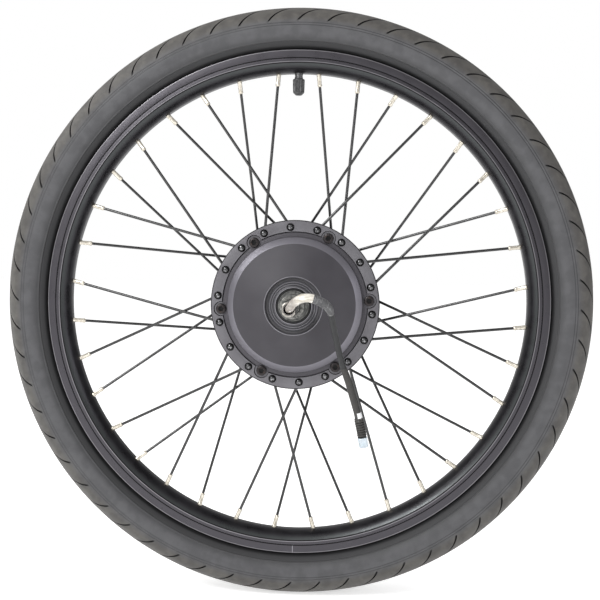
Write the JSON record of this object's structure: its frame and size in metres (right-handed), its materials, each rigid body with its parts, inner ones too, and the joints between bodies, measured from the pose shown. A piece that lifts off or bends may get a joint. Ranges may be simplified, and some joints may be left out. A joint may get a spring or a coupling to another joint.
{
  "type": "hub motor wheel",
  "caption": "Spoked bicycle wheel with tyre, built round a geared hub motor on a fixed axle, whose cable and plug leave through one axle end.",
  "frame": {"origin": "wheel centre: on the axle, in the middle plane of the rim", "axes": "+Y along the axle, away from the cable; +Z towards the tyre valve at rest; +X completes it"},
  "size_m": [0.491, 0.1818, 0.491],
  "materials": {
    "tyre_rubber": "matte brownish grey rubber",
    "soft_rubber": "black butyl rubber",
    "tape_cloth": "woven rim tape",
    "rim_alloy": "charcoal anodised, satin",
    "bare_alloy": "plain extruded alloy",
    "hub_paint": "charcoal grey paint, satin",
    "black_steel": "black coated steel",
    "zinc_steel": "zinc plated steel",
    "bearing_steel": "polished steel",
    "seal_rubber": "grey green seal",
    "gasket_paper": "gasket paper",
    "laminations": "stacked steel sheets",
    "copper": "enamelled copper wire",
    "magnet_alloy": "nickel plated magnets",
    "can_steel": "turned steel",
    "gear_steel": "machined steel, oiled",
    "nylon": "off-white nylon",
    "board_green": "green circuit board",
    "black_plastic": "black moulded plastic",
    "white_silicone": "glossy silicone sleeve",
    "grey_shrink": "dark grey heat shrink",
    "cable_jacket": "dark grey cable jacket",
    "clear_cap": "bluish white translucent cap"
  },
  "bodies": {
    "axle": {"axle": "zinc_steel", "front_axle_spacer": "zinc_steel", "rear_axle_spacer": "zinc_steel", "front_bearing_inner_ring": "bearing_steel", "rear_bearing_inner_ring": "bearing_steel", "stator_core": "laminations", "stator_windings": "copper", "hall_sensor_board": "board_green", "phase_wires": "copper", "planet_carrier": "gear_steel", "one_way_clutch": "bearing_steel", "cable_sleeve": "white_silicone", "heat_shrink": "grey_shrink", "motor_cable": "cable_jacket", "connector_boot": "black_plastic", "connector_body": "black_plastic", "connector_cap": "clear_cap"},
    "wheel": {"tyre": "tyre_rubber", "inner_tube": "soft_rubber", "rim_tape": "tape_cloth", "rim": "rim_alloy", "rim_joint_insert": "bare_alloy", "valve_stem": "soft_rubber", "hub_shell": "hub_paint", "front_cover": "hub_paint", "cover_gasket": "gasket_paper", "ring_gear": "gear_steel", "front_bearing_outer_ring": "seal_rubber", "rear_bearing_outer_ring": "seal_rubber", "cover_screw_1": "black_steel", "cover_screw_2": "black_steel", "cover_screw_3": "black_steel", "cover_screw_4": "black_steel", "cover_screw_5": "black_steel", "cover_screw_6": "black_steel", "front_spoke_pair_1": "black_steel", "front_spoke_pair_2": "black_steel", "front_spoke_pair_3": "black_steel", "front_spoke_pair_4": "black_steel", "front_spoke_pair_5": "black_steel", "front_spoke_pair_6": "black_steel", "front_spoke_pair_7": "black_steel", "front_spoke_pair_8": "black_steel", "front_spoke_pair_9": "black_steel", "rear_spoke_pair_1": "black_steel", "rear_spoke_pair_2": "black_steel", "rear_spoke_pair_3": "black_steel", "rear_spoke_pair_4": "black_steel", "rear_spoke_pair_5": "black_steel", "rear_spoke_pair_6": "black_steel", "rear_spoke_pair_7": "black_steel", "rear_spoke_pair_8": "black_steel", "rear_spoke_pair_9": "black_steel"},
    "valve_cap": {"valve_cap": "black_plastic"},
    "rotor": {"rotor_can": "can_steel", "rotor_magnets": "magnet_alloy", "sun_gear": "gear_steel"},
    "planet_1": {"planet_gear_1": "nylon"},
    "planet_2": {"planet_gear_2": "nylon"},
    "planet_3": {"planet_gear_3": "nylon"}
  },
  "joints": [
    {"name": "wheel_spin", "type": "hinge", "parent": "axle", "child": "wheel", "pos_m": [0, 0, 0], "axis": [0, 1, 0], "continuous": true},
    {"name": "valve_cap_turn", "type": "hinge", "parent": "wheel", "child": "valve_cap", "pos_m": [0, 0, 0.18], "axis": [0, 0, -1], "range_deg": [0, 900]},
    {"name": "rotor_spin", "type": "hinge", "parent": "axle", "child": "rotor", "pos_m": [0, 0, 0], "axis": [0, 1, 0], "continuous": true},
    {"name": "planet_1_spin", "type": "hinge", "parent": "axle", "child": "planet_1", "pos_m": [0, 0, 0.0288], "axis": [0, 1, 0], "continuous": true},
    {"name": "planet_2_spin", "type": "hinge", "parent": "axle", "child": "planet_2", "pos_m": [0.02494, 0, -0.0144], "axis": [0, 1, 0], "continuous": true},
    {"name": "planet_3_spin", "type": "hinge", "parent": "axle", "child": "planet_3", "pos_m": [-0.02494, 0, -0.0144], "axis": [0, 1, 0], "continuous": true}
  ],
  "couplings": [
    {"joint": "rotor_spin", "follows": "wheel_spin", "ratio": -4.3333},
    {"joint": "planet_1_spin", "follows": "wheel_spin", "ratio": 2.6},
    {"joint": "planet_2_spin", "follows": "wheel_spin", "ratio": 2.6},
    {"joint": "planet_3_spin", "follows": "wheel_spin", "ratio": 2.6}
  ]
}
